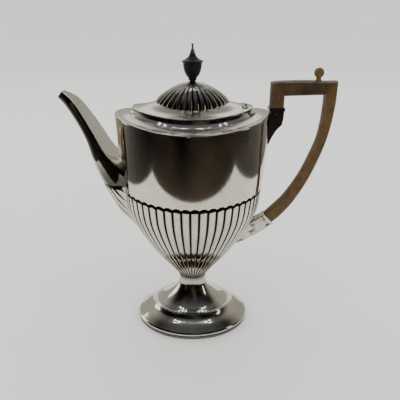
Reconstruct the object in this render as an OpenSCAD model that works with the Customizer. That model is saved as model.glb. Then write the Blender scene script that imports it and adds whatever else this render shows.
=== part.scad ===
// Oval, half-reeded silver coffee pot with a sheered (boat-shaped) rim, a hinged lid,
// an ebonised finial and a wooden loop handle held in two silver sockets.
// Millimetres. The origin is the centre of the foot on the table, +Z is up,
// the spout points to -X and the handle to +X.

/* [Body] */
// Half length of the body at its rim, along the spout and handle
body_a = 65.5; // [60:0.1:72]
// Breadth of the body over its length
body_ratio = 0.80; // [0.72:0.01:0.88]
// Height of the rim at its two high ends
rim_z = 205.4; // [203:0.1:208]
// How far the rim dips in the middle of each long side
rim_dip = 8.2; // [4:0.2:12]
// Height of the tops of the reeds at the ends
reed_top_z = 139.6; // [130:0.2:150]
// How far the line of reed tops dips in the middle
reed_dip = 5; // [3:0.2:10]
// Number of reeds round the body
body_reeds = 52; // [36:2:56]
// Depth of the grooves between the body's reeds
reed_depth = 1.3; // [0.8:0.1:1.6]
// Thickness of the silver sheet
sheet = 1.5; // [1.2:0.1:1.8]

/* [Foot] */
// Half length of the foot at its rim
foot_a = 54; // [48:0.1:58]
// Breadth of the foot over its length
foot_ratio = 0.80; // [0.76:0.01:0.92]
// Half length of the neck between body and foot
neck_a = 12.4; // [11.5:0.1:13.2]
// Height of the neck
neck_z = 47; // [46:0.5:48]
// Height of the plain ring under the foot
base_ring_h = 3.2; // [2.6:0.2:4]

/* [Lid] */
// Half length of the lid plate
lid_a = 50.8; // [49:0.1:52]
// Half breadth of the lid plate
lid_b = 34.5; // [33:0.1:36]
// Height of the lid plate's edge at its ends
lid_z = 210.4; // [209:0.1:213]
// How far the lid plate's edge dips in the middle of each side
lid_dip = 4.6; // [3:0.2:6]
// Half length of the reeded dome
dome_a = 31.2; // [29:0.1:33]
// Half breadth of the reeded dome
dome_b = 19; // [18:0.1:21]
// Height of the dome's top
dome_top_z = 229.8; // [228:0.2:232]
// Number of reeds round the dome
dome_reeds = 32; // [24:2:40]
// Half length of the opening under the lid
mouth_a = 37.5; // [35:0.1:38]
// Half breadth of the opening under the lid
mouth_b = 24; // [22:0.1:25]

/* [Hinge] */
// Distance of the hinge line from the middle of the pot
hinge_x = 43.3; // [43:0.1:43.8]
// Radius of the hinge's knuckles
knuckle_r = 2.1; // [1.9:0.05:2.2]
// Radius of the hinge pin
hinge_pin_r = 1.0; // [0.8:0.05:1.2]
// Running clearance of the moving knuckle on the pin
hinge_play = 0.05; // [0.02:0.01:0.08]
// Half length of the whole hinge
hinge_half = 12; // [10:0.5:13]
// Half length of the lid's own knuckle
lid_knuckle_half = 4.5; // [3.5:0.5:5]

/* [Handle] */
// Thickness of the wooden handle from side to side
wood_t = 10; // [9:0.5:12]
// Thickness of the silver sockets from side to side
socket_t = 11; // [10:0.5:13]
// Width of the bevels along the wood
bevel = 1.6; // [1:0.1:2]
// Radius of the ball of the thumb-piece
ball_r = 4.1; // [3.6:0.1:4.6]
// Radius of the pins through the sockets
rivet_r = 1.3; // [1.1:0.1:1.5]

/* [Finial] */
// Greatest radius of the wooden urn
urn_r = 8.8; // [8.2:0.1:9.6]
// Radius of the bolt that holds the finial
bolt_r = 0.9; // [0.8:0.05:1.1]
// Height of the whole pot, to the tip of the finial bolt
pot_h = 260; // [258:0.5:263]

/* [Hidden] */

silver = [0.74, 0.73, 0.69];
brown_wood = [0.44, 0.32, 0.18];
black_wood = [0.07, 0.07, 0.07];

body_b = body_a * body_ratio;
rim_roll = 1.4;                   // height of the rounded corner at the rim
wall_top = rim_z - rim_roll;
around = 2 * body_reeds;          // points round the body: a crest and a groove for each reed
lid_around = 2 * dome_reeds;
plain_around = 72;

// --- curves ---------------------------------------------------------------------------

// One coordinate of a Catmull-Rom curve between b and c, at u from 0 to 1
function blend(a, b, c, d, u) =
  0.5 * (2 * b + (c - a) * u + (2 * a - 5 * b + 4 * c - d) * u * u
         + (3 * b - a - 3 * c + d) * u * u * u);

// Row p, held at the ends of the list
function at(rows, i) = rows[max(0, min(len(rows) - 1, i))];

// The rows with steps-1 smooth rows put between each two
function smooth(rows, steps) = concat(
  [for (i = [0 : len(rows) - 2], k = [0 : steps - 1])
    blend(at(rows, i - 1), at(rows, i), at(rows, i + 1), at(rows, i + 2), k / steps)],
  [rows[len(rows) - 1]]);

// A value from a table of [x, value] rows, straight between rows
function table(x, rows, i = 0) =
  x <= rows[0][0] ? rows[0][1] :
  i >= len(rows) - 1 ? rows[len(rows) - 1][1] :
  x <= rows[i + 1][0]
    ? rows[i][1] + (rows[i + 1][1] - rows[i][1]) * (x - rows[i][0]) / (rows[i + 1][0] - rows[i][0])
    : table(x, rows, i + 1);

// --- oval rings ------------------------------------------------------------------------

// An oval row is [half length, half breadth, height at the ends, dip in the middle, groove depth]
function oval(row, n) = [
  for (i = [0 : n - 1])
    let (t = 360 * (i + 0.5) / n, cut = i % 2 == 0 ? 0 : row[4])
      [(row[0] - cut) * cos(t), (row[1] - cut) * sin(t), row[2] - row[3] * pow(sin(t), 2)]];

// Triangles between rings of n points; ring k joins ring k + 1
function bands(n, first, last, total) = [
  for (k = [first : last], i = [0 : n - 1])
    let (a = k * n, b = ((k + 1) % total) * n, j = (i + 1) % n)
      each [[a + i, b + j, a + j], [a + i, b + i, b + j]]];

// A closed ring of wall: the rows go up outside and come down inside
module wall(rings) {
  n = len(rings[0]);
  polyhedron([for (r = rings) each r], bands(n, 0, len(rings) - 1, len(rings)));
}

// A closed body: a flat face at each end
module stack(rings) {
  n = len(rings[0]);
  m = len(rings);
  polyhedron(
    [for (r = rings) each r],
    concat(bands(n, 0, m - 2, m),
           [[for (i = [0 : n - 1]) i]],
           [[for (i = [n - 1 : -1 : 0]) (m - 1) * n + i]]));
}

function ovals(rows, n) = [for (r = rows) oval(r, n)];

// --- foot --------------------------------------------------------------------------------

foot_b = foot_a * foot_ratio;
neck_b = neck_a * body_ratio;
collar_h = 3.6;
foot_top = neck_z - collar_h;

// The pedestal's outside, from the rim up to the neck: [half length, height]
foot_rows = concat(
  [[foot_a - 0.9, base_ring_h], [foot_a, base_ring_h + 1.6], [foot_a - 0.7, base_ring_h + 3]],
  smooth([[foot_a - 2.6, 7.5], [46, 11], [37.5, 17]], 2),
  [[36.5, 18.5], [35, 19]],
  smooth([[33.5, 19.5], [22.5, 27], [15, 35.5], [neck_a - 0.4, foot_top]], 2));

// A flat oval of the plain pieces
module flat_oval(a, b) {
  polygon([for (i = [0 : plain_around - 1])
    let (t = 360 * (i + 0.5) / plain_around) [a * cos(t), b * sin(t)]]);
}

module base_ring() {
  width = 4;
  edge = 0.5;
  color(silver) linear_extrude(base_ring_h) difference() {
    flat_oval(foot_a - edge, foot_b - edge);
    flat_oval(foot_a - edge - width, foot_b - edge - width);
  }
}

module foot() {
  skin = 2.1;               // the pedestal is cast, so it is thicker than the sheet
  flat_part = 30;           // above this height the wall is upright
  under_rows = [16, 13, 11, 10, 8, 6, 4, 0];
  function drop(z) = z > flat_part ? 0 : sheet * 0.9;
  out = [for (r = foot_rows) [r[0], r[0] * foot_ratio, r[1], 0, 0]];
  under = [for (i = under_rows)
    let (r = foot_rows[i])
      [r[0] - skin, r[0] * foot_ratio - skin, i == 0 ? base_ring_h : r[1] - drop(r[1]), 0, 0]];
  color(silver) wall(ovals(concat(out, under), plain_around));
}

module neck_collar() {
  color(silver) wall(ovals([
    [neck_a - 0.4, neck_b - 0.4, foot_top, 0, 0],
    [neck_a + 0.4, neck_b + 0.4, foot_top + 0.8, 0, 0],
    [neck_a + 0.4, neck_b + 0.4, foot_top + 2, 0, 0],
    [neck_a, neck_b, neck_z, 0, 0],
    [neck_a - 2.2, neck_b - 2.2, neck_z, 0, 0],
    [neck_a - 2.2, neck_b - 2.2, foot_top, 0, 0]], plain_around));
}

// --- body --------------------------------------------------------------------------------

// Half length of the body by height, at the crests of the reeds
body_rows = smooth([
  [neck_a + 0.8, neck_z], [15, 50.3], [21, 58], [33.6, 73], [45.3, 90.5], [54, 106.5],
  [59.4, 120.5], [61.8, 138], [63.8, 160], [body_a, wall_top]], 2);

// The dip fades from the reeds' tops to nothing at the neck, and grows to the rim's above them
function dip_at(z) = z < reed_top_z
  ? reed_dip * pow(max(0, (z - neck_z) / (reed_top_z - neck_z)), 1.5)
  : reed_dip + (rim_dip - reed_dip) * (z - reed_top_z) / (wall_top - reed_top_z);

function reeded(z) = z > reed_top_z - 1 || z < neck_z + 6 ? 0 : reed_depth;

// The body's half length at a height
function body_at(z) = table(z, [for (r = body_rows) [r[1], r[0]]]);

// Where the body's side lies at breadth y and height z, towards the spout
function side_x(y, z) = let (a = body_at(z)) -a * sqrt(max(0, 1 - pow(y / (a * body_ratio), 2)));

function body_ring(a, z, inset, grooves) =
  [a - inset, a * body_ratio - inset, z, dip_at(z), grooves];

spout_hole_z = 141;
spout_hole_r = 9;

module body_shell() {
  floor_z = neck_z + 4;
  out = [for (r = body_rows) body_ring(r[0], r[1], 0, reeded(r[1]))];
  inside = [for (i = [len(body_rows) - 1 : -2 : 3])
    let (r = body_rows[i]) body_ring(r[0], r[1], sheet + reeded(r[1]), 0)];
  color(silver) difference() {
    stack(ovals(concat(out, inside, [[13, 10, floor_z + 2.4, 0, 0]]), around));
    translate([-body_a - 5, 0, spout_hole_z])
      rotate([0, 90, 0]) cylinder(r = spout_hole_r, h = 20, $fn = 48);
  }
}

// --- shoulder and lid seat ---------------------------------------------------------------

seat_z = lid_z - 1.6;     // the lid plate lies on this ledge
mouth_dip = 4;
lip_t = 1.2;              // thickness of the rings round and under the opening
land_gap = 0.5;           // between the knuckles and the edges of the plates beside them
lid_gap = 0.3;            // between the closed lid and its seat

knuckle_z = lid_z + 0.2 - knuckle_r;

module hinge_bar(r, half) {
  translate([hinge_x, half, knuckle_z]) rotate([90, 0, 0]) cylinder(r = r, h = 2 * half, $fn = 48);
}

module shoulder() {
  color(silver) difference() {
    wall(ovals([
      [body_a, body_b, wall_top, rim_dip, 0],
      [body_a - 0.4, body_b - 0.4, rim_z - 0.5, rim_dip, 0],
      [body_a - 1.4, body_b - 1.4, rim_z, rim_dip, 0],
      [body_a - 6, body_b - 7, rim_z - 0.7, rim_dip - 0.8, 0],
      [body_a - 11, body_b - 13, rim_z + 0.1, 6.8, 0],
      [lid_a + 2.6, lid_b + 3, rim_z + 1.5, 7.4, 0],
      [lid_a + 0.9, lid_b + 1, seat_z - 0.6, 5.2, 0],
      [lid_a, lid_b, seat_z, lid_dip, 0],
      [mouth_a, mouth_b, seat_z + 0.6, mouth_dip, 0],
      [mouth_a, mouth_b, seat_z - 0.9, mouth_dip, 0],
      [lid_a - 1.6, lid_b - 1.6, seat_z - 1.6, lid_dip, 0],
      [lid_a + 0.8, lid_b + 1, rim_z - 0.1, 7.2, 0],
      [body_a - 11, body_b - 13, rim_z - 1.4, 6.8, 0],
      [body_a - sheet, body_b - sheet, wall_top, rim_dip, 0]], around));
    hinge_bar(knuckle_r + 1.2, hinge_half + 0.8);
  }
}

module lid_seat() {
  depth = 8;
  in = mouth_a - lip_t;
  side = mouth_b - lip_t;
  color(silver) wall(ovals([
    [mouth_a, mouth_b, seat_z - depth, mouth_dip, 0],
    [mouth_a, mouth_b, seat_z + 0.6, mouth_dip, 0],
    [in, side, seat_z + 0.6, mouth_dip, 0],
    [in, side, seat_z - depth, mouth_dip, 0]], around));
}

// --- spout -------------------------------------------------------------------------------

// Each station is [bottom x, bottom z, top x, top z, top half width, bottom half width]
spout_rows = smooth([
  [-65.8, 115, -65.4, 164.6, 21, 5.5], [-77.7, 139, -67.5, 166.5, 20.5, 6],
  [-86.2, 162, -73.8, 174.5, 20, 5.5], [-90.8, 180.5, -80.7, 187.5, 18, 5],
  [-97.3, 196, -88.6, 201.5, 15, 4.5], [-106, 210.5, -98, 215.5, 11, 3.5],
  [-112, 217.5, -108, 222.5, 4.5, 3]], 3);

// Half outline of a section: [share of the way up, share of the half width that the side has there]
spout_side = [[0, 0.0], [0, 0.8], [0.06, 1.0], [0.5, 1.0], [0.93, 1.0], [1, 0.92], [1, 0.5]];
spout_wall = 1.3;

// A ring of the spout at a station: up the near side and down the far one
function spout_ring(s, inset) =
  let (h = norm([s[2] - s[0], s[3] - s[1]]),
       half = [for (p = spout_side)
         let (v = (inset + p[0] * (h - 2 * inset)) / h,
              y = -p[1] * max(0.2, s[5] + (s[4] - s[5]) * pow(p[0], 0.8) - inset * 1.1))
           [s[0] + (s[2] - s[0]) * v, y, s[1] + (s[3] - s[1]) * v]])
    concat(half, [for (i = [len(half) - 1 : -1 : 1]) [half[i][0], -half[i][1], half[i][2]]]);

// The spout's edge on the body's side: [height, half width] from the lowest point to the top
root_rows = [[93, 0], [93, 4], [96.5, 7.5], [129, 14.5], [158.5, 20.5], [163.5, 20], [164.5, 10]];

function root_ring(inset) =
  let (mid = 130,
       half = [for (p = root_rows)
         let (z = p[0] + (p[0] < mid ? inset : -inset), y = -max(0, p[1] - inset * sign(p[1])))
           [side_x(y, z) + 0.25, y, z]])
    concat(half, [for (i = [len(half) - 1 : -1 : 1]) [half[i][0], -half[i][1], half[i][2]]]);

module spout() {
  last = len(spout_rows) - 1;
  color(silver) wall(concat(
    [root_ring(0)],
    [for (s = spout_rows) spout_ring(s, 0)],
    [for (i = [last : -1 : 0]) spout_ring(spout_rows[i], spout_wall)],
    [root_ring(spout_wall)]));
}

module strainer() {
  hole_r = 1.3;
  pitch = 4;
  x = side_x(0, spout_hole_z) + 4.2;
  color(silver) translate([x, 0, spout_hole_z]) rotate([0, 90, 0]) difference() {
    cylinder(r = spout_hole_r + 3, h = 1, $fn = 64);
    for (i = [-2 : 2], j = [-2 : 2])
      if (norm([i * pitch, j * pitch]) < spout_hole_r)
        translate([i * pitch, j * pitch, -1]) cylinder(r = hole_r, h = 3, $fn = 24);
  }
}

// --- handle ------------------------------------------------------------------------------

bar_x0 = 65;               // faces of the upright bar, towards and away from the body
bar_x1 = 76.5;
joint_z = 209;             // where the wood meets the upper band
lower_mid = [70, 107];     // middle of the joint with the lower socket
lower_turn = 45;           // slope of the lower socket
lower_w = 10.5;

// The limb's centre line, from the top corner down: [x, z, width]
limb = smooth([
  [115, 213, 9.5], [114.5, 205, 9], [113.5, 194, 8.5], [111, 180, 8], [105.5, 163, 8.5],
  [98, 145, 9], [87, 126, 10], [77, 114, 11], [lower_mid[0], lower_mid[1], lower_w]], 3);

// Direction of the centre line at row i, as a unit [x, z]
function limb_way(i) =
  let (a = at(limb, i - 1), b = at(limb, i + 1), d = [b[0] - a[0], b[1] - a[1]]) d / norm(d);

// Each station is [inside x, inside z, outside x, outside z]; the limb's are square to its line
limb_rows = [for (i = [0 : len(limb) - 1])
  let (p = limb[i], w = p[2] / 2,
       way = i == len(limb) - 1 ? [-cos(lower_turn), -sin(lower_turn)] : limb_way(i))
    [p[0] + way[1] * w, p[1] - way[0] * w, p[0] - way[1] * w, p[1] + way[0] * w]];
lower_in = [for (k = [0, 1]) limb_rows[len(limb) - 1][k]];
lower_out = [for (k = [2, 3]) limb_rows[len(limb) - 1][k]];

handle_rows = concat(
  [[bar_x1, joint_z, bar_x0, joint_z], [bar_x1, 218.5, bar_x0, 229.5],
   [110, 219.5, 117.5, 230.5], [110.2, 218, 119.8, 227.5]], limb_rows);

// The wood's section at a station: a rectangle with bevelled corners
function wood_ring(s) =
  let (w = norm([s[2] - s[0], s[3] - s[1]]), c = bevel / w, y = wood_t / 2,
       half = [[0, y - bevel], [c, y], [1 - c, y], [1, y - bevel]],
       side = [for (p = half) [s[0] + (s[2] - s[0]) * p[0], p[1], s[1] + (s[3] - s[1]) * p[0]]])
    concat(side, [for (i = [3 : -1 : 0]) [side[i][0], -side[i][1], side[i][2]]]);

tenon_t = 6.5;             // the ends of the wood are cut down to tenons inside the sockets
upper_tenon = 12;
lower_tenon = 11;
band_h = 2.7;
lower_band_h = 1.8;

// Puts things at the lower joint, with +X along the socket towards the body
module at_lower() {
  translate([lower_mid[0], 0, lower_mid[1]]) rotate([0, 180 - lower_turn, 0]) children();
}

module upper_peg(root) {
  translate([bar_x0 + 2.2, -tenon_t / 2, joint_z - upper_tenon])
    cube([bar_x1 - bar_x0 - 4.4, tenon_t, upper_tenon + root]);
}

module lower_peg(root) {
  at_lower() translate([-root, -tenon_t / 2, -2.2]) cube([lower_tenon + root, tenon_t, 4.4]);
}

upper_rivet_at = [70.5, 204];
module upper_rivet_bar(r) {
  translate([upper_rivet_at[0], socket_t / 2 + 0.25, upper_rivet_at[1]])
    rotate([90, 0, 0]) cylinder(r = r, h = socket_t + 0.5, $fn = 32);
}

module lower_rivet_bar(r) {
  at_lower() translate([4.6, socket_t / 2 + 0.25, 0])
    rotate([90, 0, 0]) cylinder(r = r, h = socket_t + 0.5, $fn = 32);
}

module handle() {
  color(brown_wood) difference() {
    union() {
      stack([for (s = handle_rows) wood_ring(s)]);
      upper_peg(2);
      lower_peg(2);
    }
    upper_rivet_bar(rivet_r);
    lower_rivet_bar(rivet_r);
    thumb_screw(0);
  }
}

ball_at = [104, 237];
tongue_z = 230;
module thumb_screw(r) {
  translate([ball_at[0], 0, tongue_z - 5.5]) cylinder(r = 1.5 + r, h = 6, $fn = 32);
}

module thumb_ball() {
  color(brown_wood) union() {
    translate([ball_at[0], 0, ball_at[1]]) sphere(r = ball_r, $fn = 48);
    translate([ball_at[0], 0, tongue_z + 0.35]) rotate_extrude($fn = 48)
      polygon([[0, 0], [3.4, 0], [3.2, 0.9], [2.3, 1.6], [2, 3], [2.4, 4.6], [0, 5]]);
    thumb_screw(0);
  }
}

// The upper socket stands on the body's side below the rim and narrows in a hollow curve
module upper_socket() {
  clear_x = body_a + 0.2;
  color(silver) difference() {
    translate([0, socket_t / 2, 0]) rotate([90, 0, 0]) linear_extrude(socket_t)
      polygon(concat(
        [[clear_x, joint_z - band_h], [bar_x1 + 0.2, joint_z - band_h], [76.5, 200]],
        smooth([[75.5, 194.5], [71.5, 190.5], [68, 184.5], [65.2, 178]], 3),
        [[63.5, 178], [64.5, 203], [clear_x, 203]]));
    upper_peg(0);
    upper_rivet_bar(rivet_r);
  }
}

module upper_band() {
  color(silver) difference() {
    translate([bar_x0 - 0.8, -socket_t / 2 - 0.5, joint_z - band_h])
      cube([bar_x1 - bar_x0 + 1.6, socket_t + 1, band_h]);
    upper_peg(0);
  }
}

// The lower socket tapers from the band down to the body's side
module lower_socket() {
  along = [-cos(lower_turn), -sin(lower_turn)] * lower_band_h;
  color(silver) difference() {
    translate([0, socket_t / 2, 0]) rotate([90, 0, 0]) linear_extrude(socket_t)
      polygon([lower_in + along, [49.6, 100.5], [44.2, 91], [39.2, 82.5], [41, 82.3],
               [47.5, 85], [62, 93.5], [67, 97.5], lower_out + along]);
    lower_peg(0);
    lower_rivet_bar(rivet_r);
  }
}

module lower_band() {
  color(silver) difference() {
    at_lower() translate([0, -socket_t / 2 - 0.5, -5.8]) cube([lower_band_h, socket_t + 1, 11.6]);
    lower_peg(0);
  }
}

module upper_rivet() { color(silver) upper_rivet_bar(rivet_r); }
module lower_rivet() { color(silver) lower_rivet_bar(rivet_r); }

// --- hinge -------------------------------------------------------------------------------

trough_r = knuckle_r + 0.4;      // the trough's inside, clear of the moving knuckle

module hinge_trough() {
  color(silver) difference() {
    hinge_bar(trough_r + 0.7, hinge_half + 0.7);
    difference() {
      hinge_bar(trough_r, hinge_half);
      for (s = [-1, 1])
        translate([hinge_x, s * (hinge_half + lid_knuckle_half + 0.3) / 2, knuckle_z])
          rotate([90, 0, 0])
            translate([0, 0, -(hinge_half - lid_knuckle_half - 0.3) / 2])
              union() {
                cylinder(r = knuckle_r, h = hinge_half - lid_knuckle_half - 0.3, $fn = 48);
                translate([-1, -trough_r, 0])
                  cube([2, trough_r, hinge_half - lid_knuckle_half - 0.3]);
              }
    }
    translate([hinge_x - 5, -hinge_half - 2, knuckle_z + 0.2]) difference() {
      cube([10, 2 * hinge_half + 4, 6]);
      for (s = [0, 1])
        translate([5, 2 + s * (hinge_half + lid_knuckle_half + 0.3), -0.2])
          rotate([-90, 0, 0]) cylinder(r = knuckle_r, h = hinge_half - lid_knuckle_half - 0.3, $fn = 48);
    }
    hinge_bar(hinge_pin_r, hinge_half + 2);
  }
}

module hinge_pin() { color(silver) hinge_bar(hinge_pin_r, hinge_half + 0.6); }

// --- lid ---------------------------------------------------------------------------------

// The lid's thin oval plate, before it is cut at the hinge
module oval_plate() {
  wall(ovals([
    [lid_a - 0.7, lid_b - 0.7, seat_z + lid_gap, lid_dip, 0],
    [lid_a, lid_b, lid_z - 0.8, lid_dip, 0],
    [lid_a - 0.6, lid_b - 0.6, lid_z, lid_dip, 0],
    [42, 27.6, lid_z + 0.7, 4.2, 0],
    [dome_a + 1.6, dome_b + 1.4, lid_z + 3, 4.2, 0],
    [dome_a - 2, dome_b - 2, lid_z + 3.4, 4.2, 0],
    [dome_a - 2, dome_b - 2, lid_z + 2, 4.2, 0],
    [42, 27.6, lid_z - 0.7, 4.2, 0]], plain_around));
}

module hinge_land() {
  color(silver) intersection() {
    oval_plate();
    translate([hinge_x + knuckle_r + land_gap, -40, lid_z - 20]) cube([20, 80, 30]);
  }
}

module lid_plate() {
  color(silver) difference() {
    oval_plate();
    translate([hinge_x - knuckle_r - land_gap, -40, lid_z - 20]) cube([20, 80, 30]);
  }
}

module lid_flange() {
  gap = 0.9;
  out = lip_t + gap;
  in = out + lip_t;
  depth = 6;
  color(silver) wall(ovals([
    [mouth_a - out, mouth_b - out, seat_z - depth, mouth_dip, 0],
    [mouth_a - out, mouth_b - out, lid_z + 0.6, mouth_dip, 0],
    [mouth_a - in, mouth_b - in, lid_z + 0.9, mouth_dip, 0],
    [mouth_a - in, mouth_b - in, seat_z - depth, mouth_dip, 0]], plain_around));
}

// The dome's outline: [share of its half length, share of its height]
dome_rows = [[1, 0], [0.975, 0.07], [0.9, 0.24], [0.76, 0.465], [0.57, 0.7], [0.34, 0.9], [0.12, 1]];

module lid_dome() {
  base_z = lid_z + 3.4;
  dip = 4.2;
  rise = dome_top_z - base_z;
  deep = 1.1;
  out = [for (r = dome_rows)
    [dome_a * r[0], dome_b * r[0] + (dome_a - dome_b) * 0.08 * (1 - r[0]), base_z + rise * r[1],
     dip * pow(r[0], 2), deep * r[0]]];
  inside = [for (i = [len(dome_rows) - 1 : -1 : 0])
    let (r = dome_rows[i], w = 2.4)
      [max(bolt_r, dome_a * r[0] - w), max(bolt_r, dome_b * r[0] - w * 0.9),
       base_z + (rise - sheet) * r[1], dip * pow(r[0], 2), 0]];
  color(silver) wall(ovals(concat(
    out, [[bolt_r, bolt_r, dome_top_z, 0, 0]], [[bolt_r, bolt_r, dome_top_z - sheet, 0, 0]], inside),
    lid_around));
}

module lid_knuckle() {
  leaf_t = 1.4;
  color(silver) difference() {
    union() {
      hinge_bar(knuckle_r, lid_knuckle_half);
      translate([hinge_x - knuckle_r - land_gap, -lid_knuckle_half, knuckle_z + knuckle_r - leaf_t])
        cube([knuckle_r + land_gap, 2 * lid_knuckle_half, leaf_t]);
    }
    hinge_bar(hinge_pin_r + hinge_play, lid_knuckle_half + 1);
  }
}

// --- finial ------------------------------------------------------------------------------

finial_z = dome_top_z;
base_h = 2.4;
urn_h = 13.2;
cover_h = 6.8;
cap_h = 3.7;

// A turned piece with the bolt's hole through it
module turned(outline) {
  rotate_extrude($fn = 72) polygon(concat([[bolt_r, 0]], outline));
}

module finial_base() {
  color(black_wood) translate([0, 0, finial_z])
    turned([[2.4, 0], [2.6, 1], [3.3, 1.5], [3.6, 1.9], [3.6, base_h], [bolt_r, base_h]]);
}

module finial_urn() {
  color(black_wood) translate([0, 0, finial_z + base_h])
    turned([[3.1, 0], [3.5, 0.7], [4.9, 2.3], [6.4, 5], [7.3, 8.4], [7.7, 11], [7.9, urn_h],
            [bolt_r, urn_h]]);
}

module finial_cover() {
  color(black_wood) translate([0, 0, finial_z + base_h + urn_h])
    turned([[urn_r - 0.5, 0], [urn_r, 0.4], [urn_r, 0.9], [urn_r - 0.5, 1.2], [6.4, 2.1], [4.3, 3.5],
            [3, 5], [2.3, cover_h], [bolt_r, cover_h]]);
}

module finial_cap() {
  color(silver) translate([0, 0, finial_z + base_h + urn_h + cover_h])
    turned([[2.2, 0], [2.3, 0.3], [2.3, 0.9], [2, 1.3], [1.3, cap_h - 0.3], [bolt_r + 0.1, cap_h],
            [bolt_r, cap_h]]);
}

module finial_bolt() {
  tip_r = 1.2;
  color(silver) union() {
    translate([0, 0, dome_top_z - 8]) cylinder(r = bolt_r, h = pot_h - tip_r - dome_top_z + 8, $fn = 32);
    translate([0, 0, pot_h - tip_r]) sphere(r = tip_r, $fn = 32);
  }
}

module finial_nut() {
  nut_h = 3;
  washer_h = 1;
  hollow = 1.3;             // the dome's inside falls away this much by the washer's edge
  color(silver) translate([0, 0, dome_top_z - sheet - hollow - washer_h - nut_h]) difference() {
    union() {
      cylinder(r = 2.6, h = nut_h, $fn = 6);
      translate([0, 0, nut_h]) cylinder(r = 3.2, h = washer_h, $fn = 48);
    }
    translate([0, 0, -1]) cylinder(r = bolt_r, h = nut_h + washer_h + 2, $fn = 32);
  }
}

base_ring();
foot();
neck_collar();
body_shell();
shoulder();
lid_seat();
spout();
strainer();
upper_socket();
upper_band();
lower_socket();
lower_band();
handle();
thumb_ball();
upper_rivet();
lower_rivet();
hinge_trough();
hinge_land();
hinge_pin();
lid_plate();
lid_flange();
lid_dome();
lid_knuckle();
finial_base();
finial_urn();
finial_cover();
finial_cap();
finial_bolt();
finial_nut();
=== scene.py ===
"""The looks of an oval, half-reeded silver coffee pot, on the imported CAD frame. Metres."""
import math

import bmesh
import bpy
import numpy as np
from mathutils import Matrix, Vector


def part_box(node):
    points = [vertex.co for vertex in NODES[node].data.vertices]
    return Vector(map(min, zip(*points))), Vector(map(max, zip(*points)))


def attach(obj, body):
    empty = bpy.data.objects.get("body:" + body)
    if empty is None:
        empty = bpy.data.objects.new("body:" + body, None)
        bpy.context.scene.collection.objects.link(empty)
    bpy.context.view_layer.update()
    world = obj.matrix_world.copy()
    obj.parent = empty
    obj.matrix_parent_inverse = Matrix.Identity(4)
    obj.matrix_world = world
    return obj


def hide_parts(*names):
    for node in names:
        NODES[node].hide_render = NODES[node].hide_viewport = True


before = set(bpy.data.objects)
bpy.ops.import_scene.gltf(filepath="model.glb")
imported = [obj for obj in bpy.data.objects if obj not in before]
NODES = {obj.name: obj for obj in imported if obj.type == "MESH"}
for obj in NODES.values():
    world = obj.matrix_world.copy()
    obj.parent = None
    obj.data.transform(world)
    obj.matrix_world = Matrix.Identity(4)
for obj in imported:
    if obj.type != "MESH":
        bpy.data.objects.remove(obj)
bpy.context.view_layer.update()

MM = 0.001
SHARP = math.radians(38)


# --- curves and meshes --------------------------------------------------------------------

def spline(rows, steps):
    """The rows with smooth Catmull-Rom rows between them."""
    rows = np.array(rows, float)
    out = []
    for i in range(len(rows) - 1):
        a, b = rows[max(i - 1, 0)], rows[i]
        c, d = rows[i + 1], rows[min(i + 2, len(rows) - 1)]
        for k in range(steps):
            u = k / steps
            out.append(
                0.5 * (2 * b + (c - a) * u + (2 * a - 5 * b + 4 * c - d) * u ** 2
                       + (3 * b - a - 3 * c + d) * u ** 3)
            )
    return np.array(out + [rows[-1]])


def smoothstep(low, high, x):
    u = np.clip((x - low) / (high - low), 0, 1)
    return u * u * (3 - 2 * u)


def lobe(x):
    """Cross-section of a reed: 1 on its crest at x = 0, 0 in the grooves at x = -1 and 1."""
    return np.sqrt(np.clip(1 - np.abs(x) ** 2.2, 0, 1))


def oval_ring(row, n):
    """A row is [half length, half breadth, height at the ends, dip in the middle], in mm."""
    t = np.arange(n) * 2 * math.pi / n
    a, b, z, dip = row
    return np.stack([a * np.cos(t), b * np.sin(t), z - dip * np.sin(t) ** 2], 1)


def finish_piece(mesh, name, body, material, replaces):
    bm = bmesh.new()
    bm.from_mesh(mesh)
    bmesh.ops.recalc_face_normals(bm, faces=bm.faces)
    bm.to_mesh(mesh)
    bm.free()
    mesh.shade_smooth()
    mesh.set_sharp_from_angle(angle=SHARP)
    piece = bpy.data.objects.new(name, mesh)
    bpy.context.scene.collection.objects.link(piece)
    mesh.materials.append(material)
    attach(piece, body)
    if replaces:
        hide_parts(*replaces)
    return piece


def rings_mesh(name, rings, wear_and_reflection=None, closed=True, **by_ring):
    """A mesh through rings of equal length, in mm: a closed loop, or capped at both ends."""
    rings = np.array(rings)
    m, n, _ = rings.shape
    faces = []
    for k in range(m if closed else m - 1):
        p, q = k * n, (k + 1) % m * n
        faces += [(p + i, p + (i + 1) % n, q + (i + 1) % n, q + i) for i in range(n)]
    if not closed:
        faces += [tuple(range(n))[::-1], tuple(range((m - 1) * n, m * n))]
    mesh = bpy.data.meshes.new(name)
    mesh.from_pydata((rings.reshape(-1, 3) * MM).tolist(), [], faces)
    values = np.zeros(m * n) if wear_and_reflection is None else np.array(wear_and_reflection).reshape(-1)
    mesh.attributes.new("wear_and_reflection", "FLOAT", "POINT").data.foreach_set("value", values)
    for key, value in by_ring.items():
        values = np.repeat(np.array(value, float), n)
        mesh.attributes.new(key, "FLOAT", "POINT").data.foreach_set("value", values)
    return mesh


def cut_mesh(mesh, x, keep_low):
    """Cuts a mesh at a plane across X and closes the cut."""
    bm = bmesh.new()
    bm.from_mesh(mesh)
    side = 1 if keep_low else -1
    geometry = bm.verts[:] + bm.edges[:] + bm.faces[:]
    bmesh.ops.bisect_plane(
        bm, geom=geometry, plane_co=(x, 0, 0), plane_no=(side, 0, 0), clear_outer=True)
    edges = [e for e in bm.edges if e.is_boundary]
    bmesh.ops.holes_fill(bm, edges=edges)
    bm.to_mesh(mesh)
    bm.free()
    return mesh


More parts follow.
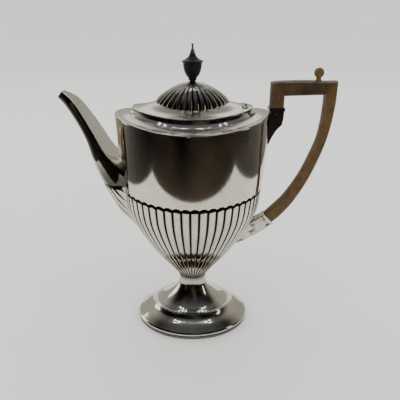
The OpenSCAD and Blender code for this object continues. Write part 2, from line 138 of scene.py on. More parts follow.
def carve_mesh(mesh, low, high):
    """The mesh less a box, in mm."""
    box = bpy.data.meshes.new("cutter")
    bm = bmesh.new()
    middle = (Vector(low) + Vector(high)) * 0.5 * MM
    place = Matrix.Translation(middle) @ Matrix.Diagonal((*((Vector(high) - Vector(low)) * MM), 1))
    bmesh.ops.create_cube(bm, size=1, matrix=place)
    bm.to_mesh(box)
    bm.free()
    cutter = bpy.data.objects.new("cutter", box)
    holder = bpy.data.objects.new("holder", mesh)
    for piece in (cutter, holder):
        bpy.context.scene.collection.objects.link(piece)
    cut = holder.modifiers.new("cut", "BOOLEAN")
    cut.operation, cut.solver, cut.object = "DIFFERENCE", "EXACT", cutter
    graph = bpy.context.evaluated_depsgraph_get()
    carved = bpy.data.meshes.new_from_object(holder.evaluated_get(graph))
    for piece in (cutter, holder):
        bpy.data.objects.remove(piece)
    return carved


def revolve_mesh(name, outline, z0, n=96):
    """A turned piece about Z; the outline is [radius, height] in mm."""
    rings = [oval_ring([max(r, 0.02), max(r, 0.02), z0 + z, 0], n) for r, z in outline]
    return rings_mesh(name, rings, closed=False)


# --- materials ----------------------------------------------------------------------------

class Graph:
    """Short names for building a node material."""

    def __init__(self, name, metallic, **fixed):
        self.material = bpy.data.materials.new(name)
        self.material.use_nodes = True
        self.tree = self.material.node_tree
        self.shader = self.tree.nodes["Principled BSDF"]
        self.shader.inputs["Metallic"].default_value = metallic
        for socket, value in fixed.items():
            self.shader.inputs[socket.replace("_", " ")].default_value = value
        self.coords = self.tree.nodes.new("ShaderNodeTexCoord").outputs["Object"]

    def link(self, a, b):
        self.tree.links.new(a, b)

    def noise(self, scale, stretch=(1, 1, 1), detail=4, roughness=0.55):
        place = self.tree.nodes.new("ShaderNodeMapping")
        place.inputs["Scale"].default_value = stretch
        self.link(self.coords, place.inputs["Vector"])
        node = self.tree.nodes.new("ShaderNodeTexNoise")
        node.inputs["Scale"].default_value = scale
        node.inputs["Detail"].default_value = detail
        node.inputs["Roughness"].default_value = roughness
        self.link(place.outputs["Vector"], node.inputs["Vector"])
        return node.outputs["Fac"]

    def remap(self, value, low, high, to_low=0.0, to_high=1.0):
        node = self.tree.nodes.new("ShaderNodeMapRange")
        node.inputs["From Min"].default_value = low
        node.inputs["From Max"].default_value = high
        node.inputs["To Min"].default_value = to_low
        node.inputs["To Max"].default_value = to_high
        self.link(value, node.inputs["Value"])
        return node.outputs["Result"]

    def math(self, operation, a, b):
        node = self.tree.nodes.new("ShaderNodeMath")
        node.operation = operation
        node.use_clamp = True
        for socket, value in zip(node.inputs, (a, b)):
            if isinstance(value, (int, float)):
                socket.default_value = value
            else:
                self.link(value, socket)
        return node.outputs[0]

    def mix(self, share, a, b):
        node = self.tree.nodes.new("ShaderNodeMix")
        node.data_type = "RGBA"
        self.link(share, node.inputs["Factor"])
        for socket, value in ((node.inputs[6], a), (node.inputs[7], b)):
            if isinstance(value, tuple):
                socket.default_value = (*value, 1)
            else:
                self.link(value, socket)
        return node.outputs[2]

    def attribute(self, name):
        node = self.tree.nodes.new("ShaderNodeAttribute")
        node.attribute_name = name
        return node.outputs["Fac"]

    def bump(self, height, distance, strength, before=None):
        node = self.tree.nodes.new("ShaderNodeBump")
        node.inputs["Distance"].default_value = distance
        node.inputs["Strength"].default_value = strength
        self.link(height, node.inputs["Height"])
        if before is not None:
            self.link(before, node.inputs["Normal"])
        return node.outputs["Normal"]


def silver(name, rough, tarnish_share, pits, blots=0.0):
    """Old silver: clean metal under patches of tarnish, with fine pits, blots and scratches.

    One attribute blackens it: patina in the grooves, and a painted dark reflection on the body just
    above the neck. The attribute "shine" keeps it clean.
    """
    g = Graph(name, 1.0)
    patches = g.noise(34, detail=6, roughness=0.62)
    specks = g.noise(850, detail=4, roughness=0.75)
    hairs = g.noise(150, stretch=(1, 1, 16), detail=2)
    shine = g.math("SUBTRACT", 1.0, g.attribute("shine"))
    tarnish = g.remap(patches, 0.40, 0.72, 0.08, tarnish_share)
    tarnish = g.math("ADD", tarnish, g.remap(specks, 0.50, 0.66, 0.0, pits))
    tarnish = g.math("MULTIPLY", tarnish, shine)
    colour = g.mix(tarnish, (0.71, 0.68, 0.59), (0.29, 0.255, 0.185))
    black = g.attribute("wear_and_reflection")
    partly = g.math("MULTIPLY", black, g.math("SUBTRACT", 1.0, black))
    black = g.math("ADD", black, g.math("MULTIPLY", partly, g.remap(specks, 0.45, 0.62, 0.0, 0.5)))
    if blots:
        black = g.math("MAXIMUM", black, g.remap(g.noise(120, detail=5), 0.50, 0.60, 0.0, blots))
    colour = g.mix(black, colour, (0.014, 0.011, 0.008))
    g.link(colour, g.shader.inputs["Base Color"])
    gloss = g.remap(hairs, 0.35, 0.7, rough * 0.8, rough * 1.2)
    gloss = g.math("ADD", gloss, g.math("MULTIPLY", tarnish, 0.10))
    gloss = g.math("MULTIPLY", gloss, g.remap(shine, 0, 1, 0.35, 1))
    matt = g.remap(black, 0.95, 1.0, 0.0, 0.45)
    gloss = g.math("ADD", gloss, matt)
    g.link(gloss, g.shader.inputs["Roughness"])
    dents = g.bump(g.noise(12, detail=1), 0.0006, 0.12)
    g.link(g.bump(specks, 0.00002, 0.3 * (0.3 + pits), dents), g.shader.inputs["Normal"])
    return g.material


def wood(name, light, dark, stain, grain_stretch):
    """Worn hardwood: long grain, dark pores, grimy patches and paler rubbed edges."""
    g = Graph(name, 0.0, Coat_Weight=0.06, Coat_Roughness=0.35, Specular_IOR_Level=0.35)
    grain = g.noise(170, stretch=grain_stretch, detail=8, roughness=0.65)
    pores = g.noise(900, stretch=grain_stretch, detail=4, roughness=0.7)
    grime_and_dark_reflection = g.noise(42, detail=6, roughness=0.7)
    colour = g.mix(g.remap(grain, 0.3, 0.7), dark, light)
    colour = g.mix(g.remap(pores, 0.56, 0.72, 0.0, 0.5), colour, stain)
    colour = g.mix(g.remap(grime_and_dark_reflection, 0.5, 0.78, 0.0, 0.75), colour, stain)
    colour = g.mix(g.math("MULTIPLY", g.attribute("wear_and_reflection"), 0.5), colour, (0.30, 0.26, 0.24))
    stained = g.math("MULTIPLY", g.attribute("stain"), g.remap(grime_and_dark_reflection, 0.35, 0.6, 0.25, 0.9))
    colour = g.mix(stained, colour, stain)
    g.link(colour, g.shader.inputs["Base Color"])
    g.link(g.remap(grain, 0.3, 0.7, 0.5, 0.36), g.shader.inputs["Roughness"])
    g.link(g.bump(pores, 0.00008, 0.35), g.shader.inputs["Normal"])
    return g.material


POLISHED = silver("polished_silver", 0.10, 0.38, 0.35)
WORN = silver("worn_silver", 0.20, 0.36, 0.45)
REEDED = silver("reeded_silver", 0.06, 0.34, 0.55)
STAINED = silver("stained_silver", 0.14, 0.95, 0.7, blots=0.85)
BROWN = wood("brown_wood", (0.135, 0.073, 0.018), (0.062, 0.032, 0.009), (0.018, 0.012, 0.008),
             (1.0, 1.0, 0.45))
BLACK = wood("black_wood", (0.013, 0.013, 0.016), (0.006, 0.006, 0.007), (0.004, 0.004, 0.004),
             (1.0, 1.0, 0.2))


# --- driving sizes, from the frame --------------------------------------------------------

def size(node):
    low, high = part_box(node)
    return low / MM, high / MM


shell_low, shell_high = size("body_shell")
BODY_A, BODY_B = shell_high.x, shell_high.y
NECK_Z, WALL_TOP = shell_low.z, shell_high.z
REEDS = 52
REED_TOP, REED_DIP, REED_DEPTH = 139.6, 5.0, 1.3
RIM_DIP = 8.2
SHEET = 1.5
# How many points go round a ring of each part
FOOT_SIDES, COLLAR_SIDES, LID_SIDES = 160, 128, 192


# --- foot ---------------------------------------------------------------------------------

def make_foot():
    low, high = size("foot")
    a, ratio, z0, z1 = high.x, high.y / high.x, low.z, high.z
    rim = spline([(a - 0.9, z0), (a, z0 + 1.6), (a - 0.8, z0 + 3.1), (a - 2.6, 7.6)], 5)
    dish = spline([(a - 2.6, 7.6), (46, 11.2), (40.5, 14.2), (37.8, 16.6)], 7)
    bead = spline([(37.5, 17.0), (36.9, 17.9), (36.2, 18.1), (35.7, 18.7), (34.9, 18.8),
                   (34.2, 19.2)], 4)
    cone = spline([(33.4, 19.6), (28, 22.6), (22, 27.4), (16.8, 32.6), (13.6, 37.6), (12.0, z1)], 8)
    under = spline([(9.9, z1), (12.6, 36.5), (19, 28), (25, 23), (31.5, 18.2), (a - 5, 6.5)], 4)
    path = np.concatenate([rim, dish[1:], bead, cone, under, [(a - 3, z0)]])
    rings = [oval_ring([r, r * ratio, z, 0], FOOT_SIDES) for r, z in path]
    stem = np.array([0.24 * smoothstep(z1 - 9, z1 - 5, z) for _, z in path])
    wear_and_reflection = np.repeat(stem[:, None], FOOT_SIDES, 1)
    return finish_piece(rings_mesh("foot_pedestal", rings, wear_and_reflection), "foot_pedestal", "pot",
                        POLISHED, ["foot"])


def make_base_ring():
    a, b, h = size("base_ring")[1]
    rows = [(0.4, 0), (0.0, 0.7), (0.0, h - 0.8), (0.5, h), (3.9, h), (4.0, 0)]
    rings = [oval_ring([a - inset, b - inset, z, 0], FOOT_SIDES) for inset, z in rows]
    wear_and_reflection = np.full((len(rows), FOOT_SIDES), 0.75)
    return finish_piece(rings_mesh("foot_ring", rings, wear_and_reflection), "foot_ring", "pot",
                        POLISHED, ["base_ring"])


def make_collar():
    low, high = size("neck_collar")
    a, b, z0, z1 = high.x, high.y, low.z, high.z
    outside = spline([(0.8, z0), (0.15, z0 + 0.4), (0.0, z0 + 0.9), (0.0, z0 + 2.4),
                      (0.25, z1 - 0.6), (0.7, z1)], 5)
    path = np.concatenate([outside, [(2.6, z1), (2.6, z0)]])
    rings = [oval_ring([a - inset, b - inset, z, 0], COLLAR_SIDES) for inset, z in path]
    dark = [max(0.9 * (z < z0 + 0.35), 0.9 * (z > z1 - 0.5), 0.5) for _, z in path]
    wear_and_reflection = np.repeat(np.array(dark)[:, None], COLLAR_SIDES, 1)
    return finish_piece(rings_mesh("neck_ring", rings, wear_and_reflection), "neck_ring", "pot",
                        WORN, ["neck_collar"])


# --- body ---------------------------------------------------------------------------------

# The body's outline from the neck up: [half length, height]
BODY_LINE = spline([(13.2, NECK_Z), (15, 50.3), (21, 58), (33.6, 73), (45.3, 90.5), (54, 106.5),
                    (59.4, 120.5), (61.8, 138), (63.8, 160), (BODY_A, WALL_TOP)], 8)


def body_half(z):
    return np.interp(z, BODY_LINE[:, 1], BODY_LINE[:, 0])


def body_dip(z):
    if z < REED_TOP:
        return REED_DIP * max(0, (z - NECK_Z) / (REED_TOP - NECK_Z)) ** 1.5
    return REED_DIP + (RIM_DIP - REED_DIP) * (z - REED_TOP) / (WALL_TOP - REED_TOP)


def make_body():
    per_reed = 14
    n = REEDS * per_reed
    t = np.arange(n) * 2 * math.pi / n
    across = ((t * REEDS / (2 * math.pi) - 0.25 + 0.5) % 1 - 0.5) * 2
    heights = np.concatenate([
        np.linspace(NECK_Z, 129, 46), np.linspace(129.4, 145, 44), np.linspace(148, WALL_TOP, 14)])
    rings, wear_and_reflection = [], []
    head = math.pi * body_half(REED_TOP) / REEDS
    for z in heights:
        a = body_half(z)
        b = a * BODY_B / BODY_A
        down = (REED_TOP - z) / head
        depth = min(REED_DEPTH, 0.75 * math.pi * a / REEDS) * smoothstep(0, 1.5, z - NECK_Z)
        radius = np.abs(across) if down > 1 else np.hypot(across, 1 - down)
        cut = depth * (1 - lobe(radius)) * (1 - smoothstep(1.05, 1.4, radius))
        rings.append(np.stack([(a - cut) * np.cos(t), (b - cut) * np.sin(t),
                               z - body_dip(z) * np.sin(t) ** 2], 1))
        # Painted dark reflection just above the neck: the body is blackened there, and towards the
        # neck the dark grooves widen until they close up.
        grime_and_dark_reflection = 0.72 * (1 - smoothstep(NECK_Z + 1, NECK_Z + 7, z))
        fill = 1 - smoothstep(NECK_Z + 2, NECK_Z + 22, z)
        groove = smoothstep(0.15 - 0.11 * fill, 0.34 - 0.2 * fill, cut / max(depth, 0.01))
        wear_and_reflection.append(np.maximum(groove, grime_and_dark_reflection))
    for z in np.linspace(WALL_TOP, NECK_Z + 9, 12):
        inset = SHEET + (REED_DEPTH if z < REED_TOP else 0)
        a = body_half(z)
        rings.append(oval_ring([a - inset, a * BODY_B / BODY_A - inset, z, body_dip(z)], n))
        wear_and_reflection.append(np.full(n, 0.12))
    return finish_piece(rings_mesh("body_wall", rings, wear_and_reflection, closed=False), "body_wall", "pot",
                        REEDED, ["body_shell"])


# --- shoulder and lid ---------------------------------------------------------------------

def make_shoulder():
    high = size("shoulder")[1]
    lid_low, lid_high = size("lid_plate")
    a, b, rim = high.x, high.y, WALL_TOP + 1.4
    lid_a, lid_b = -lid_low.x, lid_high.y
    seat = high.z - 0.6
    roll = spline([(a, b, WALL_TOP, RIM_DIP), (a - 0.15, b - 0.15, WALL_TOP + 0.7, RIM_DIP),
                   (a - 0.6, b - 0.6, rim - 0.2, RIM_DIP), (a - 1.4, b - 1.4, rim, RIM_DIP)], 4)
    slope = spline([(a - 1.4, b - 1.4, rim, RIM_DIP), (a - 6, b - 7, rim - 0.7, RIM_DIP - 0.8),
                    (a - 11, b - 13, rim + 0.1, 6.9),
                    (lid_a + 2.7, lid_b + 3.1, rim + 1.4, 7.4)], 6)
    cove = spline([(lid_a + 2.4, lid_b + 2.8, rim + 1.7, 7.3),
                   (lid_a + 1.2, lid_b + 1.4, rim + 2.4, 6.4),
                   (lid_a + 0.6, lid_b + 0.7, seat - 0.7, 5.3), (lid_a, lid_b, seat, 4.6)], 6)
    inside = [(37.5, 24, seat + 0.6, 4), (37.5, 24, seat - 0.9, 4),
              (lid_a - 1.6, lid_b - 1.6, seat - 1.6, 4.6), (lid_a + 0.8, lid_b + 1, rim - 0.1, 7.2),
              (a - 11, b - 13, rim - 1.4, 6.8), (a - SHEET, b - SHEET, WALL_TOP, RIM_DIP)]
    path = np.concatenate([roll, slope[1:], cove, inside])
    rings = [oval_ring(row, LID_SIDES) for row in path]
    shine = [1.0 if len(roll) + len(slope) - 5 < k < len(path) - len(inside) else 0.0
             for k in range(len(path))]
    return finish_piece(rings_mesh("shoulder_skin", rings, shine=shine), "shoulder_skin", "pot",
                        WORN, ["shoulder"])


def plate_rings():
    low, high = size("lid_plate")
    a, b = -low.x, high.y
    top = size("shoulder")[1].z + 1.0
    lip = spline([(a - 0.7, b - 0.7, top - 1.3, 4.6), (a, b, top - 0.8, 4.6),
                  (a - 0.15, b - 0.15, top - 0.25, 4.6), (a - 0.9, b - 0.9, top, 4.6)], 4)
    plate = spline([(a - 0.9, b - 0.9, top, 4.6), (42, 27.6, top + 0.7, 4.2),
                    (32.8, 20.4, top + 3.0, 4.2), (29.2, 17, top + 3.4, 4.2)], 6)
    under = [(29.2, 17, top + 2, 4.2), (42, 27.6, top - 0.7, 4.2)]
    return [oval_ring(row, LID_SIDES) for row in np.concatenate([lip, plate[1:], under])]


def make_plates():
    knuckle = size("lid_knuckle")
    edge = knuckle[0].x * MM
    mesh = cut_mesh(rings_mesh("lid_sheet", plate_rings()), edge, True)
    finish_piece(mesh, "lid_sheet", "lid", WORN, ["lid_plate"])
    land_edge = size("hinge_land")[0].x
    half = size("hinge_trough")[1].y
    seam = 0.5
    mesh = cut_mesh(rings_mesh("hinge_side", plate_rings()), edge + seam * MM, False)
    mesh = carve_mesh(mesh, (knuckle[0].x - 5, -half, 190), (land_edge, half, 230))
    finish_piece(mesh, "hinge_side", "pot", WORN, ["hinge_land"])


def make_dome():
    a, b, top = size("lid_dome")[1]
    reeds, per_reed, deep, dip = 32, 14, 1.4, 4.2
    base = size("shoulder")[1].z + 4.4
    n = reeds * per_reed
    t = np.arange(n) * 2 * math.pi / n
    across = ((t * reeds / (2 * math.pi)) % 1 - 0.5) * 2
    line = spline([(1, 0), (0.975, 0.07), (0.9, 0.24), (0.76, 0.465), (0.57, 0.7), (0.34, 0.9),
                   (0.12, 1)], 6)
    rings, wear_and_reflection = [], []
    for share, rise in line:
        half, side = a * share, b * share + (a - b) * 0.08 * (1 - share)
        cut = min(deep, 0.8 * math.pi * side / reeds) * (1 - lobe(across))
        z = base + (top - base) * rise - dip * share ** 2 * np.sin(t) ** 2
        rings.append(np.stack([(half - cut) * np.cos(t), (side - cut) * np.sin(t), z], 1))
        wear_and_reflection.append(0.9 * smoothstep(0.2, 0.55, 1 - lobe(across)))
    rings += [oval_ring([0.95, 0.95, top, 0], n), oval_ring([0.95, 0.95, top - SHEET, 0], n)]
    for share, rise in line[::-4]:
        row = [max(0.95, a * share - 2.4), max(0.95, b * share - 2.2),
               base + (top - base - SHEET) * rise, dip * share ** 2]
        rings.append(oval_ring(row, n))
    wear_and_reflection += [np.zeros(n)] * (len(rings) - len(wear_and_reflection))
    finish_piece(rings_mesh("dome_reeded", rings, wear_and_reflection), "dome_reeded", "lid", REEDED,
                 ["lid_dome"])


# --- spout --------------------------------------------------------------------------------

# Stations from the body to the lip:
# [bottom x, bottom z, top x, top z, half width at the top, half width at the bottom]
SPOUT = spline([
    (-65.8, 115, -65.4, 164.6, 21, 5.5), (-77.7, 139, -67.5, 166.5, 20.5, 6),
    (-86.2, 162, -73.8, 174.5, 20, 5.5), (-90.8, 180.5, -80.7, 187.5, 18, 5),
    (-97.3, 196, -88.6, 201.5, 15, 4.5), (-106, 210.5, -98, 215.5, 11, 3.5),
    (-112, 217.5, -108, 222.5, 4.5, 3)], 10)
SPOUT_REED_DEPTH = 1.1


def spout_section(points=44):
    """Half a section: [share of the way up, share of the width there], keel to top plate."""
    keel = [(0, s) for s in np.linspace(0, 0.9, 13)] + [(0.02, 0.97)]
    side = [(v, 1.0) for v in np.linspace(0.06, 0.965, points)]
    top = [(0.99, 0.985)] + [(1, s) for s in np.linspace(0.95, 0, 8)]
    return keel + side + top


def plain_half(station, inset):
    """Half of a section without reeds, as [x, y, z] rows."""
    x0, z0, x1, z1, wide, narrow = station
    length = math.hypot(x1 - x0, z1 - z0)
    half = []
    for v, s in spout_section():
        shift = (inset + v * (length - 2 * inset)) / length
        width = max(0.2, narrow + (wide - narrow) * (1 - (1 - v) ** 4) - inset * 1.1)
        half.append((x0 + (x1 - x0) * shift, s * width, z0 + (z1 - z0) * shift))
    return np.array(half)


def mirrored(half):
    return np.concatenate([half, half[-2:0:-1] * (1, -1, 1)])


def reeded_ring(half, deepest):
    """A half section with the reeds cut into its sides and keel, and how dark each point is: the
    grooves, and the sides above the reed heads.
    """
    up = half[-1] - half[0]
    up = up / np.linalg.norm(up)
    points, wear_and_reflection = half.copy(), []
    for k, (v, s) in enumerate(spout_section()):
        on_keel = v <= 0.02
        cut = 0.0
        z = half[k][2]
        if v < 0.8:
            down = (REED_TOP + 4 - z) / 3.4
            across = ((s if on_keel else (v - 0.05) / 0.15) % 1 - 0.5) * 2
            radius = abs(across) if down > 1 else math.hypot(across, 1 - down)
            if down > -0.75:
                cut = deepest * (1 - float(lobe(radius))) * (1 - smoothstep(0.1, 0.75, -down))
        # Darker on the sides from just above the reed heads, fading out between 150 and 186 mm
        # high, and weaker towards the keel.
        spout_side_dark = 0.0
        if 0.05 < v < 0.97:
            spout_side_dark = 0.85 * smoothstep(REED_TOP + 1, REED_TOP + 6, z)
            spout_side_dark *= (1 - smoothstep(150, 186, z)) * smoothstep(0.03, 0.4, v)
        wear_and_reflection.append(max(float(smoothstep(0.15, 0.34, cut / SPOUT_REED_DEPTH)), spout_side_dark))
        points[k] += cut * up if on_keel else (0, -cut * s, 0)
    return mirrored(points), wear_and_reflection + wear_and_reflection[-2:0:-1]


def side_x(y, z):
    a = float(body_half(z))
    b = a * BODY_B / BODY_A
    return -a * math.sqrt(max(0, 1 - (y / b) ** 2))


def root_half(inset):
    """Half of the spout's edge on the body's side; the top plate slopes down around the body."""
    bottom, top = 92, 163.8
    half = []
    for v, s in spout_section():
        width = np.interp(v, [0, 0.08, 0.5, 0.92, 1], [0.7, 6, 14.5, 20.5, 20])
        y = s * max(0.2, width - inset)
        back = side_x(y, top) - side_x(0, top)
        z = bottom + inset + v * (top - back - bottom - 2 * inset)
        half.append((side_x(y, z) + 0.25, y, z))
    return np.array(half)


def make_spout():
    wall = 1.3
    root, first = root_half(0), plain_half(SPOUT[0], 0)
    outer = [reeded_ring(root + (first - root) * share, SPOUT_REED_DEPTH * share ** 0.5)
             for share in np.linspace(0, 1, 9)[:-1]]
    outer += [reeded_ring(plain_half(station, 0), SPOUT_REED_DEPTH) for station in SPOUT]
    inner = [mirrored(plain_half(station, wall)) for station in SPOUT[::-4]]
    rings = [points for points, _ in outer] + inner + [mirrored(root_half(wall))]
    n = len(rings[0])
    wear_and_reflection = [w for _, w in outer] + [np.full(n, 0.2)] * (len(inner) + 1)
    finish_piece(rings_mesh("spout_shell", rings, wear_and_reflection), "spout_shell", "pot",
                 REEDED, ["spout"])


# --- handle -------------------------------------------------------------------------------

# The limb's centre line from the top corner down: [x, z, width]
LIMB = spline([(115, 213, 9.5), (114.5, 205, 9), (113.5, 194, 8.5), (111, 180, 8),
               (105.5, 163, 8.5), (98, 145, 9), (87, 126, 10), (77, 114, 11), (70, 107, 10.5)], 6)
LOWER_SLOPE = math.radians(45)


def limb_stations():
    out = []
    for i, (x, z, width) in enumerate(LIMB):
        way = LIMB[min(i + 1, len(LIMB) - 1)][:2] - LIMB[max(i - 1, 0)][:2]
        if i == len(LIMB) - 1:
            way = np.array([-math.cos(LOWER_SLOPE), -math.sin(LOWER_SLOPE)])
        way = way / np.linalg.norm(way)
        w = width / 2
        out.append((x + way[1] * w, z - way[0] * w, x - way[1] * w, z + way[0] * w))
    return out


def wood_ring(station, half_y, rub):
    """A rectangle with softened bevels, and how rubbed each point is."""
    x0, z0, x1, z1 = station
    length = math.hypot(x1 - x0, z1 - z0)
    c, bevel = 1.6 / length, 1.6
    corner = [(c * k, half_y - bevel * (1 - math.sin(math.acos(1 - k)))) for k in (0, 0.35, 0.7, 1)]
    half = [(s, y) for s, y in corner]
    half += [(s, half_y) for s in np.linspace(c * 1.6, 1 - c * 1.6, 5)]
    half += [(1 - s, y) for s, y in corner[::-1]]
    rubbed = [0.0, 0.15, 0.15, 0.0] + [0.0] * 5 + [0.0, rub, rub, 0.5 * rub]
    points = [(x0 + (x1 - x0) * s, y, z0 + (z1 - z0) * s) for s, y in half]
    points += [(x, -y, z) for x, y, z in points[::-1]]
    return points, rubbed + rubbed[::-1]


def make_handle():
    low, high = size("upper_band")
    joint = high.z
    x0, x1 = low.x + 0.8, high.x - 0.8
    upright = [(x1, joint + (218.5 - joint) * s, x0, joint + (229.5 - joint) * s)
               for s in np.linspace(0, 1, 5)]
    bar = [(x1 + (110 - x1) * s, 218.5 + s, x0 + (117.9 - x0) * s,
            229.5 + s + 0.9 * math.sin(math.pi * min(1, s / 0.75)) ** 0.5)
           for s in np.linspace(0, 1, 17)[1:]]
    corner = [(110.1, 219.2, 119.4, 230.6), (110.2, 218, 119.7, 228.5)]
    half_y = size("handle")[1].y
    rings = [wood_ring(s, half_y, 0.3) for s in upright]
    rings += [wood_ring(s, half_y, 1.0) for s in bar]
    rings += [wood_ring(s, half_y, 0.3) for s in corner + limb_stations()]
    stain = [0.3] * len(upright) + [0.85] * len(bar) + [0.3] * len(corner) + [0.0] * len(LIMB)
    mesh = rings_mesh("wood_loop", [p for p, _ in rings], [w for _, w in rings], closed=False,
                      stain=stain)
    finish_piece(mesh, "wood_loop", "pot", BROWN, ["handle"])


def make_thumb_ball():
    low, high = size("thumb_ball")
    x, r, top = (low.x + high.x) / 2, (high.x - low.x) / 2, high.z
    centre = top - r
    neck = [(1.4, 229), (3.2, 229.6), (3.0, 230.6), (2.2, 231.6), (2.0, 232.6)]
    ball = [(r * math.sin(a), centre - r * math.cos(a))
            for a in np.linspace(0.52, math.pi - 0.02, 22)]
    mesh = revolve_mesh("thumb_ball_wood", neck + ball, 0, 64)
    mesh.transform(Matrix.Translation((x * MM, 0, 0)))
    finish_piece(mesh, "thumb_ball_wood", "pot", BROWN, ["thumb_ball"])


# --- finial -------------------------------------------------------------------------------

def make_finial():
    z = size("finial_base")[0].z
    base = spline([(2.4, 0), (2.6, 1), (3.3, 1.4), (3.6, 1.8), (3.5, 2.4)], 4)
    finish_piece(revolve_mesh("finial_foot", base, z), "finial_foot", "lid", BLACK,
                 ["finial_base"])
    z = size("finial_urn")[0].z
    urn = spline([(3.1, 0), (3.5, 0.7), (4.9, 2.3), (6.4, 5), (7.3, 8.4), (7.7, 11),
                  (7.9, 13.2)], 6)
    finish_piece(revolve_mesh("finial_bowl", urn, z), "finial_bowl", "lid", BLACK,
                 ["finial_urn"])
    z = size("finial_cover")[0].z
    lip = spline([(8.3, 0), (8.8, 0.35), (8.8, 0.8), (8.3, 1.2)], 3)
    cone = spline([(8.3, 1.2), (6.4, 2.1), (4.3, 3.5), (3, 5), (2.3, 6.8)], 5)
    cover = np.concatenate([lip, cone[1:]])
    finish_piece(revolve_mesh("finial_lid", cover, z), "finial_lid", "lid", BLACK,
                 ["finial_cover"])
    z = size("finial_cap")[0].z
    cap = [(2.2, 0), (2.3, 0.3), (2.3, 0.9), (2.0, 1.3), (1.6, 2.3), (1.25, 3.4), (1.0, 3.7)]
    finish_piece(revolve_mesh("finial_ferrule", cap, z), "finial_ferrule", "lid", WORN,
                 ["finial_cap"])


# --- CAD pieces that keep their shape -----------------------------------------------------

def paint_cad(material, names):
    for name in names:
        slots = NODES[name].material_slots
        for s in slots:
            s.link = "OBJECT"
            s.material = material


make_foot()
make_base_ring()
make_collar()
make_body()
make_shoulder()
make_plates()
make_dome()
make_spout()
make_handle()
make_thumb_ball()
make_finial()
paint_cad(WORN, ["lid_seat", "strainer", "lid_flange", "finial_nut", "finial_bolt", "hinge_trough",
                 "lid_knuckle", "hinge_pin", "upper_rivet", "lower_rivet"])
paint_cad(STAINED, ["lower_socket"])
paint_cad(POLISHED, ["upper_socket", "upper_band", "lower_band"])


# --- stage, light and camera --------------------------------------------------------------

def stage_piece(name, mesh, material):
    mesh.materials.append(material)
    piece = bpy.data.objects.new(name, mesh)
    bpy.context.scene.collection.objects.link(piece)
    return piece


def revolved_stage(name, profile, n=96):
    """A sheet turned about Z; the profile is [radius, height] in metres."""
    t = np.arange(n) * 2 * math.pi / n
    points = [(r * math.cos(a), r * math.sin(a), z) for r, z in profile for a in t]
    faces = [(k * n + i, k * n + (i + 1) % n, (k + 1) * n + (i + 1) % n, (k + 1) * n + i)
             for k in range(len(profile) - 1) for i in range(n)]
    mesh = bpy.data.meshes.new(name)
    mesh.from_pydata(points, [], faces)
    mesh.shade_smooth()
    return mesh


def make_sweep():
    """A pale floor that curves up into a pale wall, far away on every side."""
    g = Graph("pale_paper", 0.0, Roughness=0.9)
    g.link(g.mix(g.noise(3), (0.90, 0.90, 0.89), (0.87, 0.87, 0.86)), g.shader.inputs["Base Color"])
    curve = [(6 + math.sin(a), 1 - math.cos(a)) for a in np.linspace(0, math.pi / 2, 9)]
    stage_piece("floor", revolved_stage("floor", [(0.001, 0), (0.5, 0), (2, 0)] + curve + [(7, 3)]),
                g.material)


def smooth_share(tree, value, low, high):
    node = tree.nodes.new("ShaderNodeMapRange")
    node.interpolation_type = "SMOOTHSTEP"
    node.inputs["From Min"].default_value = low
    node.inputs["From Max"].default_value = high
    tree.links.new(value, node.inputs["Value"])
    return node.outputs["Result"]


def blend_colour(tree, share, under, over):
    node = tree.nodes.new("ShaderNodeMix")
    node.data_type = "RGBA"
    tree.links.new(share, node.inputs["Factor"])
    tree.links.new(under, node.inputs[6])
    node.inputs[7].default_value = (*over, 1)
    return node.outputs[2]


def room_material():
    """Dim and mottled in front, pale behind and blue-grey overhead."""
    material = bpy.data.materials.new("dim_room")
    material.use_nodes = True
    tree = material.node_tree
    tree.nodes.clear()
    out = tree.nodes.new("ShaderNodeOutputMaterial")
    glow = tree.nodes.new("ShaderNodeEmission")
    tree.links.new(glow.outputs[0], out.inputs[0])
    coords = tree.nodes.new("ShaderNodeTexCoord").outputs["Object"]
    place = tree.nodes.new("ShaderNodeMapping")
    place.inputs["Scale"].default_value = (1, 1, 0.35)
    tree.links.new(coords, place.inputs["Vector"])
    noise = tree.nodes.new("ShaderNodeTexNoise")
    noise.inputs["Scale"].default_value = 1.3
    noise.inputs["Detail"].default_value = 2
    tree.links.new(place.outputs["Vector"], noise.inputs["Vector"])
    ramp = tree.nodes.new("ShaderNodeValToRGB")
    stops = ramp.color_ramp.elements
    stops[0].position, stops[0].color = 0.46, (0.004, 0.004, 0.005, 1)
    stops[1].position, stops[1].color = 0.72, (0.075, 0.058, 0.042, 1)
    tree.links.new(noise.outputs["Fac"], ramp.inputs[0])
    split = tree.nodes.new("ShaderNodeSeparateXYZ")
    tree.links.new(coords, split.inputs[0])
    behind = smooth_share(tree, split.outputs["Y"], -0.5, 1.3)
    colour = blend_colour(tree, behind, ramp.outputs["Color"], (0.50, 0.485, 0.455))
    above = smooth_share(tree, split.outputs["Z"], 2.0, 2.9)
    colour = blend_colour(tree, above, colour, (0.13, 0.145, 0.17))
    tree.links.new(colour, glow.inputs["Color"])
    return material


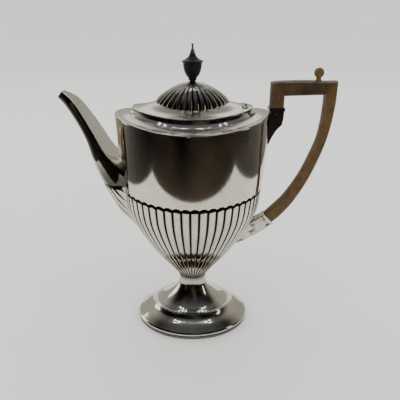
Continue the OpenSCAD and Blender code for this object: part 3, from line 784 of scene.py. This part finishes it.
def make_surroundings():
    """What only the gloss sees: a dim room beyond the straight edges of a pale table."""
    lift, per_side, room_radius = 0.002, 12, 3.0
    left, right, front, back = TABLE
    corners = [Vector((x, y, lift))
               for x, y in ((left, front), (right, front), (right, back), (left, back))]
    edge = [corners[k].lerp(corners[(k + 1) % 4], i / per_side)
            for k in range(4) for i in range(per_side)]
    dome = [(room_radius * math.cos(a), room_radius * math.sin(a))
            for a in np.linspace(0.15, 1.57, 10)]
    rings = [edge]
    for r, z in [(room_radius, 0.004)] + dome:
        rings.append([Vector((r * p.x / p.xy.length, r * p.y / p.xy.length, z)) for p in edge])
    n = len(edge)
    faces = [(k * n + i, k * n + (i + 1) % n, (k + 1) * n + (i + 1) % n, (k + 1) * n + i)
             for k in range(len(rings) - 1) for i in range(n)]
    mesh = bpy.data.meshes.new("dim_room")
    mesh.from_pydata([p for ring in rings for p in ring], [], faces)
    room = stage_piece("dim_room", mesh, room_material())
    room.visible_camera = room.visible_diffuse = room.visible_shadow = False
    room.visible_transmission = room.visible_volume_scatter = False


def soft_light(name, place, target, sides, power):
    data = bpy.data.lights.new(name, "AREA")
    data.shape = "RECTANGLE"
    data.size, data.size_y = sides
    data.energy = power
    lamp = bpy.data.objects.new(name, data)
    lamp.location = place
    way = Vector(target) - Vector(place)
    lamp.rotation_euler = way.to_track_quat("-Z", "Y").to_euler()
    bpy.context.scene.collection.objects.link(lamp)


# The pale table's edges as the gloss sees them: left, right, front and back
TABLE = (-0.36, 0.40, -0.27, 0.9)
make_sweep()
make_surroundings()
soft_light("overhead", (-0.1, 1.6, 1.3), (0, 0, 0.15), (2.2, 0.7), 5)
soft_light("left_box", (-1.2, 0.35, 0.35), (0, 0, 0.12), (0.5, 0.7), 2.2)
soft_light("right_box", (1.2, -0.45, 0.55), (0, 0, 0.12), (0.16, 0.7), 0.9)
for row, y in enumerate((-0.35, 0.35)):
    for i, x in enumerate(np.linspace(-0.7, 0.7, 8)):
        soft_light(f"ceiling_{row}_{i}", (x, y, 1.8), (x, y, 0), (0.07, 0.035), 0.18)

world = bpy.data.worlds.new("studio")
bpy.context.scene.world = world
world.use_nodes = True
sky = world.node_tree.nodes["Background"]
sky.inputs["Color"].default_value = (0.95, 0.95, 0.94, 1)
sky.inputs["Strength"].default_value = 1.4

CAMERA_BACK, CAMERA_HEIGHT, CAMERA_DOWN = 0.3809, 0.2831, math.radians(22.7)
camera_data = bpy.data.cameras.new("camera")
camera_data.sensor_width = 36
camera_data.lens = 40.5
camera_data.shift_x = 0.01875
camera = bpy.data.objects.new("camera", camera_data)
camera.location = (0, -CAMERA_BACK, CAMERA_HEIGHT)
camera.rotation_euler = (math.pi / 2 - CAMERA_DOWN, 0, 0)
bpy.context.scene.collection.objects.link(camera)
bpy.context.scene.camera = camera

bpy.context.view_layer.update()
